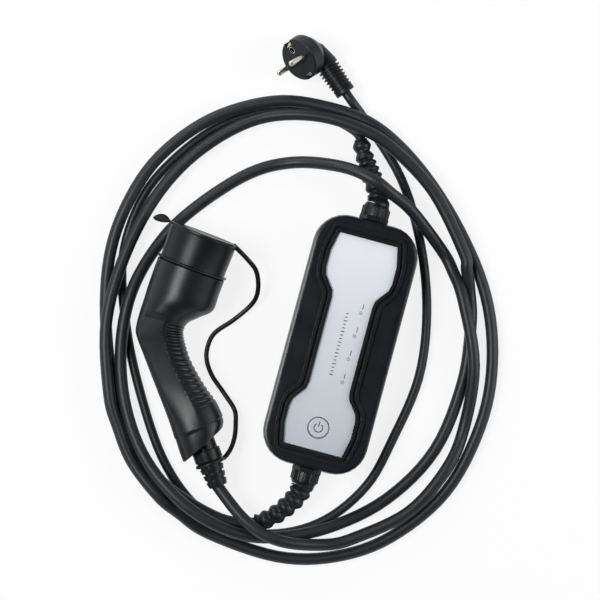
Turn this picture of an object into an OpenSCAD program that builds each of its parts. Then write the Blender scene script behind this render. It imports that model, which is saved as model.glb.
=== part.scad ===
// Portable charger for an electric car: control box, vehicle connector with dust cap, mains plug and
// both cables.
// The origin is the middle of the box's underside, +Y runs along the box to its mains end, and +Z is up.

/* [Control box] */
// Width of the box
box_w = 90; // [84:1:96]
// Length of the box
box_l = 215; // [205:1:225]
// Height of the lower shell, at which the two shells meet and the glands sit
base_h = 22; // [20:1:24]
// Height of the cover, without the ridges
cover_h = 22; // [20:1:26]
// Radius of the box's corners in plan
corner_r = 27; // [22:1:32]
// Wall of both shells
wall = 3.4; // [3:0.2:4]
// Rounding along the top and bottom edges
edge_r = 4; // [3:0.5:5]
// Width of the gasket between the shells
seal_w = 1.4; // [1:0.2:1.6]
// Depth of the gasket's groove
seal_depth = 1.5; // [1:0.25:2.5]

/* [Front panel] */
// Width of the panel at its two ends
panel_end_w = 57; // [52:1:62]
// Width of the panel at its waist
panel_waist_w = 35; // [28:1:40]
// Length of the panel
panel_l = 182; // [170:1:188]
// Thickness of the panel
panel_t = 1.2; // [0.8:0.1:1.6]
// Height of the two ridges around the panel
ridge_h = 2.4; // [1.5:0.1:3.5]
// Width of each ridge
ridge_w = 2.6; // [2:0.1:3]
// Groove between the two ridges
ridge_gap = 2.2; // [1.5:0.1:3]
// Diameter of the touch key
key_d = 16.6; // [14:0.2:19]
// Distance of the key from the middle of the box
key_y = 72; // [68:1:74]
// Diameter of one indicator lens
lens_d = 3; // [2:0.2:4]
// Distance between neighbouring lenses
lens_pitch = 20; // [14:1:24]

/* [Inside the box] */
// Width of the circuit board
board_w = 58; // [50:1:60]
// Length of the circuit board
board_l = 150; // [140:1:156]
// Thickness of the circuit board
board_t = 1.6; // [1:0.2:2]
// Height of the posts under the board
post_h = 4; // [3:0.5:6]
// Shank diameter of the cover screws
screw_d = 3; // [2.5:0.5:3.5]

/* [Glands] */
// Diameter of a gland's neck in the box wall
gland_d = 16; // [15:0.5:17]
// Length of the nut outside the box
nut_l = 11; // [9:1:13]
// Diameter of the nut
nut_d = 24; // [22:0.5:25]
// Diameter of a bend relief at the nut
relief_d = 20; // [18:0.5:21]
// Diameter of a bend relief at its thin end
relief_end_d = 13; // [12:0.5:14]

/* [Vehicle connector] */
// Diameter of the nose sleeve
nose_d = 54; // [53:0.5:55]
// Length of the nose in front of the grip
nose_l = 24; // [20:1:25]
// Wall of the nose sleeve
nose_wall = 2.6; // [2:0.2:3.4]
// Wall of the grip's shells
grip_wall = 2; // [1.6:0.2:2.4]
// Depth of the block of contacts
insert_l = 15; // [12:1:16]
// Depth of the dust cap
cap_l = 31; // [28:1:34]
// Wall of the dust cap
cap_wall = 2.2; // [1.8:0.2:2.6]
// Width of the strap on the dust cap
tether_w = 4; // [3:0.5:5]

/* [Plug] */
// Diameter of the plug's face
plug_d = 37; // [35:0.5:39]
// Depth of the plug's head behind its face
plug_t = 24; // [22:0.5:26]
// Distance of the lead's axis behind the face
plug_axis_t = 23; // [22:0.25:24]
// Distance of the ribs from the middle of the face
plug_rib_x = 18; // [16:0.5:20]
// Number of ribs on the plug's neck
plug_ribs = 7; // [5:1:8]
// Distance from one rib to the next
plug_rib_pitch = 3.2; // [2.8:0.1:3.5]
// Diameter of the ribs at the head
plug_rib_d = 20; // [18:0.5:20]
// Diameter of a mains pin
pin_d = 4.8; // [4:0.1:5]
// Length of a mains pin in front of the face
pin_l = 19; // [15:0.5:20]
// Distance between the two pins
pin_pitch = 19; // [17:0.5:21]

/* [Cables] */
// Diameter of the charging cable
ev_d = 10.3; // [9:0.1:10.4]
// Diameter of the mains lead
lead_d = 8; // [7:0.1:8.2]

/* [Hidden] */

// Clearances between pieces that fit together
slip = 0.2;
seat = 0.1;
snug = 0.05;

// Places that several pieces share
floor_t = 2.6;
top_t = 2.6;
box_h = base_h + cover_h;
gland_z = base_h;
cavity_r = corner_r - wall;
boss_x = box_w / 2 - wall - 8.5;
boss_y = box_l / 2 - wall - 12;
boss_r = 4.2;
screw_head_d = 2 * screw_d;
screw_head_t = 2;
screw_l = base_h + 8;
board_z = floor_t + post_h;
board_top = board_z + board_t;
post_x = board_w / 2 - 5;
post_y = board_l / 2 - 6;
panel_z = box_h - panel_t;
flange_t = 4;
gland_in_t = 3;
nut_y = box_l / 2 + flange_t + seat;
relief_y = nut_y + nut_l;

// Outline of a plate with rounded corners, as points
function rounded(w, l, r, n = 7) = [
    for (q = [0:3]) let(sx = [1, -1, -1, 1][q], sy = [1, 1, -1, -1][q])
    for (i = [0:n]) let(a = 90 * q + 90 * i / n)
    [sx * (w / 2 - r) + r * cos(a), sy * (l / 2 - r) + r * sin(a)]
];

// A closed solid through a stack of rings that all have the same number of points
module loft(rings) {
    n = len(rings[0]);
    m = len(rings);
    points = [for (ring = rings) for (p = ring) p];
    sides = [
        for (k = [0:m - 2]) for (i = [0:n - 1]) let(j = (i + 1) % n)
        [k * n + i, (k + 1) * n + i, (k + 1) * n + j, k * n + j]
    ];
    bottom = [for (i = [0:n - 1]) i];
    top = [for (i = [n - 1:-1:0]) (m - 1) * n + i];
    polyhedron(points = points, faces = concat(sides, [bottom, top]), convexity = 6);
}

// The box's outline at one height, drawn in by an inset
function box_ring(inset, z) = [
    for (p = rounded(box_w - 2 * inset, box_l - 2 * inset, corner_r - inset)) [p[0], p[1], z]
];

function unit(v) = v / norm(v);
function along(path, k) = unit(path[min(k + 1, len(path) - 1)] - path[max(k - 1, 0)]);

// One ring of a swept tube, at right angles to the path
function tube_ring(path, k, w, h, sides) =
    let(t = along(path, k), a = unit(cross([0, 0, 1], t)), b = cross(t, a))
    [for (i = [0:sides - 1]) let(q = 360 * (i + 0.5) / sides)
        path[k] + a * w / 2 * cos(q) + b * h / 2 * sin(q)];

// A tube along a path: w and h give its width and height at each point
module tube(path, w, h, sides) {
    loft([for (k = [0:len(path) - 1]) tube_ring(path, k, w[k], h[k], sides)]);
}

function same(path, d) = [for (p = path) d];

// A smooth curve through points, with n steps between neighbours
function curve_point(a, b, c, d, t) =
    0.5 * (2 * b + (c - a) * t + (2 * a - 5 * b + 4 * c - d) * t * t + (3 * b - a - 3 * c + d) * t * t * t);
function curve(p, n) =
    let(q = concat([2 * p[0] - p[1]], p, [2 * p[len(p) - 1] - p[len(p) - 2]]))
    concat(
        [for (i = [1:len(p) - 1]) for (k = [0:n - 1]) curve_point(q[i - 1], q[i], q[i + 1], q[i + 2], k / n)],
        [p[len(p) - 1]]
    );

// Control box

module box_cavity(z0, z1) {
    translate([0, 0, z0])
        linear_extrude(z1 - z0)
            polygon(rounded(box_w - 2 * wall, box_l - 2 * wall, cavity_r));
}

module at_bosses() {
    for (sx = [-1, 1])
        for (sy = [-1, 1])
            translate([sx * boss_x, sy * boss_y, 0])
                children();
}

module gland_holes() {
    for (end = [-1, 1])
        translate([0, end * (box_l / 2 - wall / 2), gland_z])
            rotate([90, 0, 0])
                cylinder(d = gland_d + 2 * slip, h = 2 * wall, center = true, $fn = 48);
}

// The groove for the gasket runs inside the bosses' line, in the middle of the wall
module seal_outline(grow) {
    difference() {
        polygon(rounded(box_w - wall + seal_w + grow, box_l - wall + seal_w + grow,
            corner_r - (wall - seal_w) / 2));
        polygon(rounded(box_w - wall - seal_w - grow, box_l - wall - seal_w - grow,
            corner_r - (wall + seal_w) / 2));
    }
}

// The gasket stops at the glands, which seal there with their own collars
module seal_gaps(grow) {
    for (end = [-1, 1])
        translate([0, end * box_l / 2, base_h])
            cube([gland_d + 4 - grow, 4 * wall, 4 * seal_depth], center = true);
}

module box_base() {
    color("#0e1115")
    difference() {
        union() {
            difference() {
                loft([box_ring(edge_r * 0.8, 0), box_ring(edge_r * 0.3, edge_r * 0.25),
                    box_ring(0, edge_r), box_ring(0, base_h)]);
                box_cavity(floor_t, base_h + 1);
            }
            at_bosses()
                translate([0, 0, floor_t / 2]) cylinder(r = boss_r, h = base_h - floor_t / 2, $fn = 32);
            for (sx = [-1, 1])
                for (sy = [-1, 1])
                    translate([sx * post_x, sy * post_y, floor_t / 2])
                        cylinder(r = 3, h = board_z - floor_t / 2, $fn = 24);
        }
        at_bosses() {
            translate([0, 0, -1]) cylinder(d = screw_d + 2 * slip, h = base_h + 2, $fn = 24);
            translate([0, 0, -1]) cylinder(d = screw_head_d + 2 * slip, h = screw_head_t + 2, $fn = 32);
        }
        gland_holes();
        difference() {
            translate([0, 0, base_h - seal_depth]) linear_extrude(seal_depth + 1) seal_outline(2 * snug);
            seal_gaps(0);
        }
    }
}

module dogbone(grow) {
    offset(r = grow, $fn = 24)
        polygon([
            for (q = [0:3]) let(sx = [1, -1, -1, 1][q], sy = [1, 1, -1, -1][q])
            for (p = q % 2 == 0 ? dogbone_side : [for (i = [len(dogbone_side) - 1:-1:0]) dogbone_side[i]])
            [sx * p[0], sy * p[1]]
        ]);
}

// One quarter of the panel's outline, from its waist to its end
dogbone_side = [
    [panel_waist_w / 2, panel_l * 0.2],
    [panel_waist_w / 2 + 1.2, panel_l * 0.235],
    [panel_end_w / 2 - 1.5, panel_l * 0.295],
    [panel_end_w / 2, panel_l * 0.33],
    [panel_end_w / 2, panel_l * 0.41],
    [panel_end_w / 2 - 3.5, panel_l / 2]
];

module box_cover() {
    color("#0e1115")
    difference() {
        union() {
            difference() {
                loft([box_ring(0, base_h), box_ring(0.4, box_h - edge_r),
                    box_ring(edge_r * 0.35, box_h - edge_r * 0.25), box_ring(edge_r, box_h)]);
                box_cavity(base_h - 1, box_h - top_t);
            }
            at_bosses() translate([0, 0, base_h]) cylinder(r = boss_r, h = cover_h - top_t / 2, $fn = 32);
            translate([0, 0, box_h - top_t / 2]) linear_extrude(top_t / 2 + ridge_h) {
                difference() {
                    dogbone(slip + ridge_w);
                    dogbone(slip);
                }
                difference() {
                    dogbone(slip + 2 * ridge_w + ridge_gap);
                    dogbone(slip + ridge_w + ridge_gap);
                }
            }
        }
        translate([0, 0, panel_z]) linear_extrude(panel_t + ridge_h + 1) dogbone(slip);
        at_bosses()
            translate([0, 0, base_h - 1])
                cylinder(d = screw_d + 2 * snug, h = screw_l - base_h + 3, $fn = 24);
        gland_holes();
    }
}

module box_seal() {
    color("#26282b")
    translate([0, 0, base_h - seal_depth])
        difference() {
            linear_extrude(seal_depth) seal_outline(0);
            translate([0, 0, seal_depth - base_h]) seal_gaps(-2);
        }
}

module at_lenses() {
    for (i = [-1.5:1:1.5])
        translate([panel_waist_w * 0.27, i * lens_pitch, panel_z])
            children();
}

module front_panel() {
    color("#d7dde4")
    difference() {
        translate([0, 0, panel_z]) linear_extrude(panel_t) dogbone(0);
        translate([0, -key_y, panel_z - 1]) cylinder(d = key_d + slip, h = panel_t + 2, $fn = 64);
        at_lenses() translate([0, 0, -1]) cylinder(d = lens_d + slip, h = panel_t + 2, $fn = 24);
    }
}

module touch_key() {
    color("#aab2bb")
    translate([0, -key_y, panel_z])
        rotate_extrude($fn = 64)
            polygon([[0, 0], [key_d / 2, 0], [key_d / 2, panel_t], [key_d / 2 - 0.5, panel_t + 0.5],
                [key_d / 2 - 1.6, panel_t + 0.5], [key_d / 2 - 2.2, panel_t + 0.1], [0, panel_t + 0.1]]);
}

module indicator_lenses() {
    color("#cfe6ea")
    at_lenses()
        rotate_extrude($fn = 24)
            polygon([[0, 0], [lens_d / 2, 0], [lens_d / 2, panel_t], [lens_d / 4, panel_t + 0.3],
                [0, panel_t + 0.4]]);
}

module cover_screws() {
    color("#9aa0a6")
    at_bosses()
        difference() {
            union() {
                cylinder(d = screw_d, h = screw_l, $fn = 24);
                translate([0, 0, 0.3]) cylinder(d = screw_head_d, h = screw_head_t + 0.7, $fn = 32);
            }
            translate([0, 0, -1]) cylinder(d = screw_d * 0.7, h = 2.4, $fn = 6);
        }
}

module circuit_board() {
    color("#1d5b3a")
    translate([0, 0, board_z + board_t / 2])
        cube([board_w, board_l, board_t], center = true);
}

// A terminal block stands near each end of the board, and the relays stop short of the one at the mains end
terminal_w = 36;
terminal_t = 10;
terminal_y = board_l / 2 - 18;
relay_l = 28;
relay_gap = 2;
relay_y = terminal_y - terminal_t / 2 - relay_gap - relay_l;

module relays() {
    color("#1b3f7a")
    for (i = [0, 1])
        translate([-board_w / 2 + 5 + i * 25, relay_y, board_top])
            cube([20, relay_l, min(17, cover_h - 5)]);
}

// The supply and the sensor stand side by side, half a millimetre apart
supply_x = -board_w / 2 + 5;
supply_w = 24;
sensor_d = 25;

module residual_current_sensor() {
    color("#3a3d42")
    translate([supply_x + supply_w + 0.5 + sensor_d / 2, -30, board_top])
        difference() {
            cylinder(d = sensor_d, h = 11, $fn = 48);
            translate([0, 0, -1]) cylinder(d = sensor_d - 12, h = 13, $fn = 48);
        }
}

module power_supply() {
    color("#caa227")
    translate([supply_x, -45, board_top]) {
        cube([supply_w, 30, 4]);
        translate([2, 3, 4]) cube([supply_w - 4, 24, 12]);
    }
}

module terminal_block() {
    color("#2f6f54")
    for (end = [-1, 1])
        translate([-terminal_w / 2, end * terminal_y - terminal_t / 2, board_top])
            difference() {
                cube([terminal_w, terminal_t, 11]);
                for (i = [0:4])
                    translate([4 + i * 7, -1, 5])
                        rotate([-90, 0, 0])
                            cylinder(d = 3.4, h = terminal_t + 2, $fn = 24);
            }
}

// A gland in the end wall: a collar inside, the neck in the wall and a six-sided flange outside
module gland_body() {
    color("#15181c")
    difference() {
        union() {
            rotate([-90, 0, 0]) cylinder(d = gland_d, h = box_l / 2 + 1, $fn = 48);
            translate([0, box_l / 2 + snug, 0])
                rotate([-90, 0, 0]) cylinder(d = nut_d + 1, h = flange_t - snug, $fn = 6);
            translate([0, box_l / 2 - wall - gland_in_t - snug, 0])
                rotate([-90, 0, 0]) cylinder(d = gland_d + 4, h = gland_in_t, $fn = 48);
        }
        rotate([-90, 0, 0])
            translate([0, 0, -1])
                cylinder(d = 2 * gland_d, h = box_l / 2 - wall - gland_in_t - snug + 1, $fn = 48);
        rotate([-90, 0, 0]) cylinder(d = relief_end_d, h = box_l, $fn = 48);
    }
}

// The nut clamps the relief: grip ribs around it, and a dome at its outer end
module gland_nut() {
    color("#15181c")
    translate([0, nut_y, 0])
        rotate([-90, 0, 0])
            difference() {
                union() {
                    cylinder(d = nut_d - 2, h = nut_l - 3, $fn = 48);
                    translate([0, 0, nut_l - 3]) cylinder(d1 = nut_d - 2, d2 = nut_d - 5, h = 3, $fn = 48);
                    for (a = [0:30:330])
                        rotate(a)
                            translate([nut_d / 2 - 1.4, 0, 0]) cylinder(r = 1.4, h = nut_l - 3.5, $fn = 16);
                }
                translate([0, 0, -1]) cylinder(d = relief_end_d + 2 * slip, h = nut_l + 2, $fn = 48);
            }
}

// Both reliefs leave their nuts straight, and then bend the way that the cables pull them
straight_l = 2.5;
top_bend = [[0, relief_y + straight_l, gland_z], [-2.5, relief_y + 10, gland_z - 0.5],
    [-9, relief_y + 18.5, gland_z - 2], [-16.5, relief_y + 29, gland_z - 4],
    [-23, relief_y + 39, gland_z - 6], [-28, relief_y + 49, gland_z - 8]];
bottom_bend = [[0, -relief_y - straight_l, gland_z], [-2, -relief_y - 10, gland_z - 0.5],
    [-6.5, -relief_y - 18.5, gland_z - 1.5], [-12.5, -relief_y - 27, gland_z - 3],
    [-20, -relief_y - 35, gland_z - 5], [-28.5, -relief_y - 41, gland_z - 8]];

// A ribbed sleeve: each rib is two rings wide and each groove is two rings wide
module relief(bend) {
    steps = 7;
    path = concat([[0, sign(bend[0][1]) * (relief_y + seat), gland_z]], curve(bend, steps));
    last = len(path) - 1;
    d = [
        for (k = [0:last]) let(full = relief_d + (relief_end_d - relief_d) * k / last)
        k < 2 || k > last - 2 || k % 4 < 2 ? full : full - 4
    ];
    tube(path, d, d, 20);
}

// The relief's own root inside the nut
module relief_root(end) {
    translate([0, end * (nut_y - flange_t / 2), gland_z])
        rotate([-90 * end, 0, 0])
            cylinder(d = relief_end_d - 2 * slip, h = nut_l + flange_t / 2 + 1, $fn = 48);
}

module mains_relief() {
    color("#15181c")
    union() {
        relief(top_bend);
        relief_root(1);
    }
}

module ev_relief() {
    color("#15181c")
    union() {
        relief(bottom_bend);
        relief_root(-1);
    }
}

module top_gland_body() {
    translate([0, 0, gland_z]) gland_body();
}

module top_gland_nut() {
    translate([0, 0, gland_z]) gland_nut();
}

module bottom_gland_body() {
    translate([0, 0, gland_z]) rotate(180) gland_body();
}

module bottom_gland_nut() {
    translate([0, 0, gland_z]) rotate(180) gland_nut();
}

// Vehicle connector. In its own frame the nose points along +Y, the grip bends towards +X,
// and the plane z = 0 is where the grip's two shells meet.
connector_at = [-137.5, 29.9, 31.4];
connector_turn = -5.7;
connector_tip = 3;
cap_bore_d = nose_d + 2 * slip;

module place_connector() {
    translate(connector_at)
        rotate([0, 0, connector_turn])
            rotate([connector_tip, 0, 0])
                children();
}

// The grip's round front holds the nose sleeve, with this much room between them
grip_room = 0.6;
grip_r = nose_d / 2 + grip_room + grip_wall;

// Sections of the grip, each with its left end, its right end, its half height and its squareness
grip_sections = [
    [[-grip_r, 0], [grip_r, 0], grip_r, 2],
    [[0.1 - grip_r, -14], [grip_r, -13.5], grip_r - 0.1, 2],
    [[0.6 - grip_r, -30], [grip_r - 0.2, -27.5], grip_r - 0.6, 2],
    [[-28.4, -40], [21, -36.5], 26.5, 2.1],
    [[-28, -49], [13.5, -44.5], 24, 2.2],
    [[-27.2, -58], [12.3, -51.5], 22, 2.3],
    [[-25.3, -66.5], [14.5, -57], 20.5, 2.5],
    [[-20, -74], [18.7, -63.3], 19.5, 2.5],
    [[-12, -83], [26, -72.5], 19, 2.4],
    [[-1, -95.5], [36.5, -82], 19, 2.4],
    [[11, -109], [47.5, -90.5], 19.5, 2.3],
    [[23.5, -123], [58, -97.5], 20.5, 2.3],
    [[33, -134.5], [66, -105], 21.3, 2.3],
    [[42.5, -147], [70.8, -110.5], 21.8, 2.3],
    [[51, -157], [72, -116.5], 21.5, 2.3]
];

function power(v, e) = sign(v) * pow(abs(v), e);

// One point of a section's outline, drawn in by an inset, at an angle from its right end
function section_point(s, inset, a) =
    let(mid = (s[0] + s[1]) / 2, half = norm(s[1] - s[0]) / 2, dir = unit(s[1] - s[0]),
        c = power(cos(a), 2 / s[3]) * (half - inset), z = power(sin(a), 2 / s[3]) * (s[2] - inset))
    [mid[0] + dir[0] * c, mid[1] + dir[1] * c, z];

// Upper half of a section as a band. It starts at the top of the outer arc, goes left, follows the inner arc
// to the right and comes back up. Starting there keeps flat triangles off the loft's end caps.
function half_band(s, n = 16) = concat(
    [for (i = [n / 2:n]) section_point(s, 0, 180 * i / n)],
    [for (i = [n:-1:0]) section_point(s, grip_wall, 180 * i / n)],
    [for (i = [0:n / 2 - 1]) section_point(s, 0, 180 * i / n)]
);

// The upper half of the grip keeps a hair of clearance at the parting plane
module grip_half() {
    loft([for (s = grip_sections) [for (p = half_band(s)) [p[0], p[1], p[2] + snug / 2]]]);
}

// The line on which the clamp, the gland, the boot and the cable leave the grip: its direction and its zero
gland_dir = [0.645, -0.764, 0];
gland_from = [60.5, -134.5, 0];
gland_turn = atan2(gland_dir[1], gland_dir[0]) - 90;

module along_handle(s) {
    translate(gland_from + gland_dir * s)
        rotate([0, 0, gland_turn])
            rotate([-90, 0, 0])
                children();
}

module grip_shell_upper() {
    color("#14171a")
    place_connector()
        grip_half();
}

module grip_shell_lower() {
    color("#14171a")
    place_connector()
        mirror([0, 0, 1])
            grip_half();
}

module nose_sleeve() {
    color("#121417")
    place_connector()
        rotate([90, 0, 0])
            difference() {
                translate([0, 0, -nose_l]) cylinder(d = nose_d, h = nose_l + 18, $fn = 72);
                translate([0, 0, -nose_l - 1])
                    cylinder(d = nose_d - 2 * nose_wall, h = nose_l + 20, $fn = 72);
            }
}

module nose_seal() {
    color("#303338")
    place_connector()
        translate([0, nose_l + slip, 0])
            rotate([-90, 0, 0])
                difference() {
                    cylinder(d = nose_d - 0.6, h = 2, $fn = 72);
                    translate([0, 0, -1]) cylinder(d = nose_d - 2 * nose_wall, h = 4, $fn = 72);
                }
}

// Seven contacts, each with its place and bore: five for power and earth, and two small ones for signals
contact_spots = [[0, 0, 6], [-9.6, 0, 6], [9.6, 0, 6], [-4.8, -9.6, 6], [4.8, -9.6, 6],
    [-8, 8.6, 3.4], [8, 8.6, 3.4]];

module at_insert() {
    place_connector()
        translate([0, -2, 0])
            rotate([-90, 0, 0])
                children();
}

module contact_insert() {
    color("#1b1e22")
    at_insert()
        difference() {
            cylinder(d = nose_d - 2 * nose_wall - 2 * slip, h = insert_l, $fn = 72);
            for (c = contact_spots)
                translate([c[0], c[1], -1]) cylinder(d = c[2] + 2, h = insert_l + 2, $fn = 32);
            for (s = [-1, 1])
                translate([s * 17, 0, -1]) cylinder(d = screw_d + 2 * slip, h = insert_l + 2, $fn = 24);
        }
}

module contact_sleeves() {
    color("#c8ccd0")
    at_insert()
        for (c = contact_spots)
            translate([c[0], c[1], -6])
                difference() {
                    cylinder(d = c[2] + 2 - 2 * snug, h = insert_l + 5, $fn = 32);
                    translate([0, 0, 4]) cylinder(d = c[2], h = insert_l + 5, $fn = 32);
                }
}

module insert_screws() {
    color("#8c9197")
    at_insert()
        for (s = [-1, 1])
            translate([s * 17, 0, -3]) {
                cylinder(d = screw_d, h = insert_l + 4, $fn = 24);
                translate([0, 0, insert_l + 3 + snug]) cylinder(d = 2 * screw_d, h = 2, $fn = 24);
            }
}

module cable_clamp() {
    color("#24272b")
    place_connector()
        along_handle(-30)
            difference() {
                cylinder(d = 26, h = 10, $fn = 48);
                translate([0, 0, -1]) cylinder(d = ev_d, h = 12, $fn = 48);
            }
}

module handle_gland() {
    color("#15181c")
    place_connector()
        along_handle(-15)
            difference() {
                union() {
                    cylinder(d = 21, h = 32, $fn = 48);
                    translate([0, 0, 22]) cylinder(d = 24, h = 9, $fn = 12);
                }
                translate([0, 0, -1]) cylinder(d = ev_d + 1, h = 34, $fn = 48);
            }
}

module tether_ring() {
    color("#1a1c1f")
    place_connector()
        along_handle(17 + snug)
            rotate_extrude($fn = 48)
                translate([11.2, 1.6]) circle(d = 3.2, $fn = 16);
}

module handle_boot() {
    color("#15181c")
    place_connector()
        along_handle(17 + snug)
            difference() {
                union() {
                    cylinder(d = 19, h = 6, $fn = 48);
                    for (i = [0:2])
                        translate([0, 0, 5 + 6 * i])
                            cylinder(d1 = 21 - 1.5 * i, d2 = 19 - 1.5 * i, h = 4, $fn = 48);
                    cylinder(d = 15.5, h = 22, $fn = 48);
                }
                translate([0, 0, -1]) cylinder(d = ev_d, h = 22, $fn = 48);
            }
}

// The dust cap is a cup with a flange at its mouth, a thin lip round its end, and a pull tab
module dust_cap() {
    color("#101214")
    place_connector() {
        r = cap_bore_d / 2 + cap_wall;
        rotate([-90, 0, 0])
            rotate_extrude($fn = 72)
                polygon([[0, cap_l], [r + 0.8, cap_l], [r + 0.8, cap_l - 1.4], [r - 0.1, cap_l - 1.8],
                    [r, 1.8], [r + 1.6, 1.4], [r + 1.6, 0.2], [cap_bore_d / 2, 0.2],
                    [cap_bore_d / 2, cap_l - 2.6], [0, cap_l - 2.6]]);
        difference() {
            translate([-r - 9, cap_l - 1.5, 0])
                rotate([90, 0, 0]) resize([20, 13, 2.6]) cylinder(d = 20, h = 2.6, center = true, $fn = 32);
            translate([0, cap_l, 0]) rotate([90, 0, 0]) cylinder(r = r - 1, h = 12, $fn = 72);
            translate([-r - 11, cap_l + 5, 0]) rotate([90, 0, 0]) cylinder(d = 5, h = 12, $fn = 24);
        }
    }
}

// The strap from the cap's end to the ring on the handle
tether_route = [[-104, 55, 33], [-94, 49, 30], [-85, 42, 24], [-80, 31, 16], [-79, 20, 10], [-83, 10, 6],
    [-93, -4, 3], [-105, -18, 2], [-108, -30, 2], [-106, -42, 2], [-98, -54, 3], [-84, -66, 5], [-72, -77, 8],
    [-68, -88, 10], [-66, -99, 12], [-66.5, -109, 14], [-69.2, -116.8, 15.8]];

module cap_tether() {
    color("#1a1c1f")
    tube(tether_route, same(tether_route, tether_w), same(tether_route, 2.4), 8);
}

// Mains plug. In its own frame the pins point along +Z, the lead leaves along +X, and the pins lie along Y.
// The plug lies on its neck and on the edge of its head, so its pins point up and aside.
plug_at = [-96.1, 222.4, 24.9];
plug_turn = -40;
plug_roll = 50;
pin_root_d = 4;
pin_tip = 1.2;
neck_end_l = 4.5;
neck_tail = 5;
plug_lead_x = plug_rib_x + plug_ribs * plug_rib_pitch + neck_end_l;

module place_plug() {
    translate(plug_at)
        rotate([0, 0, plug_turn])
            rotate([plug_roll, 0, 0])
                children();
}

// The head is turned about the pins' direction: a thick collar at the face, then a waist
module plug_head() {
    r = plug_d / 2;
    rotate_extrude($fn = 64)
        polygon([[0, 0], [r - 1, 0], [r, -1], [r, -plug_t * 0.46], [r - 1.2, -plug_t * 0.52],
            [r - 4, -plug_t * 0.7], [r - 9, -plug_t * 0.92], [r - 12, -plug_t], [0, -plug_t]]);
}

// The neck is turned about the lead's axis, with its ribs and the thicker ring at its end
module plug_neck() {
    core = plug_rib_d / 2 - 2;
    ribs = [
        for (i = [0:plug_ribs - 1]) let(x = plug_rib_x + i * plug_rib_pitch, rib = plug_rib_d / 2 - 0.2 * i)
        for (p = [[core, 0], [core, 0.45], [rib, 0.6], [rib, 1]]) [p[0], x + p[1] * plug_rib_pitch]
    ];
    translate([0, 0, -plug_axis_t])
        rotate([0, 90, 0])
            rotate_extrude($fn = 48)
                polygon(concat([[0, -neck_tail], [core - 4, -neck_tail + 0.6], [core - 1.5, -neck_tail + 3],
                    [core - 0.5, 0], [plug_rib_d / 2, plug_rib_x * 0.8], [plug_rib_d / 2, plug_rib_x]], ribs,
                    [[core, plug_lead_x - neck_end_l], [core + 0.7, plug_lead_x - neck_end_l + 1],
                    [core + 0.7, plug_lead_x - 0.6], [core, plug_lead_x], [0, plug_lead_x]]));
}

module plug_body() {
    color("#111417")
    place_plug()
        difference() {
            union() {
                plug_head();
                plug_neck();
            }
            for (s = [-1, 1])
                translate([0, s * pin_pitch / 2, -plug_t / 2])
                    cylinder(d = pin_root_d + 2 * snug, h = plug_t, $fn = 32);
            translate([-10, 0, -plug_t / 2]) cylinder(d = 6.4, h = plug_t, $fn = 32);
            for (s = [-1, 1])
                translate([s * (plug_d / 2 - 1.6) - 3, -4, -9]) cube([6, 8, 12]);
        }
}

// The root of a pin sits in the body, and its shaft stands in front of the face
module mains_pin(s) {
    color("#c9c6bd")
    place_plug()
        translate([0, s * pin_pitch / 2, 0]) {
            translate([0, 0, -plug_t / 2]) cylinder(d = pin_root_d, h = plug_t / 2 + 1, $fn = 32);
            translate([0, 0, snug]) cylinder(d = pin_d, h = pin_l - pin_tip, $fn = 48);
            translate([0, 0, pin_l - pin_tip + snug])
                cylinder(d1 = pin_d - 0.4, d2 = pin_d - 2, h = pin_tip, $fn = 32);
        }
}

module live_pin() {
    mains_pin(1);
}

module neutral_pin() {
    mains_pin(-1);
}

module earth_clips() {
    color("#b9b7ae")
    place_plug()
        for (s = [-1, 1])
            translate([s * (plug_d / 2 - 4.6 + snug) - (s < 0 ? 1 : 0), -3, -9 + snug]) {
                cube([1, 6, 8.4]);
                translate([s < 0 ? -1.4 : 0.9, 1, 2]) cube([1.5, 4, 5]);
            }
}

module earth_socket() {
    color("#b9b7ae")
    place_plug()
        translate([-10, 0, -plug_t / 2])
            difference() {
                cylinder(d = 6.4 - 2 * snug, h = plug_t / 2 - 0.5, $fn = 32);
                translate([0, 0, 1]) cylinder(d = 5, h = plug_t, $fn = 32);
            }
}

// Route of the mains lead, from the plug, round the floor and under the charging cable, to the top relief
lead_route = [[-50.3, 207, 10], [-42.6, 200.5, 10], [-26, 187, 4], [14, 149, 4], [44, 100, 4], [64, 46, 4],
    [72, -10, 4], [64, -67, 4], [53, -110, 4], [27, -147, 4], [-9, -169, 4], [-51, -175, 4], [-87, -162, 4],
    [-121, -132, 4], [-153, -84, 4], [-179, -33, 4], [-197, 22, 4], [-195, 73, 4], [-178, 113, 4],
    [-146, 153, 4], [-103, 179, 4], [-64, 184, 4], [-38, 179, 8], [-29, 173.5, 13.5]];

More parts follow.
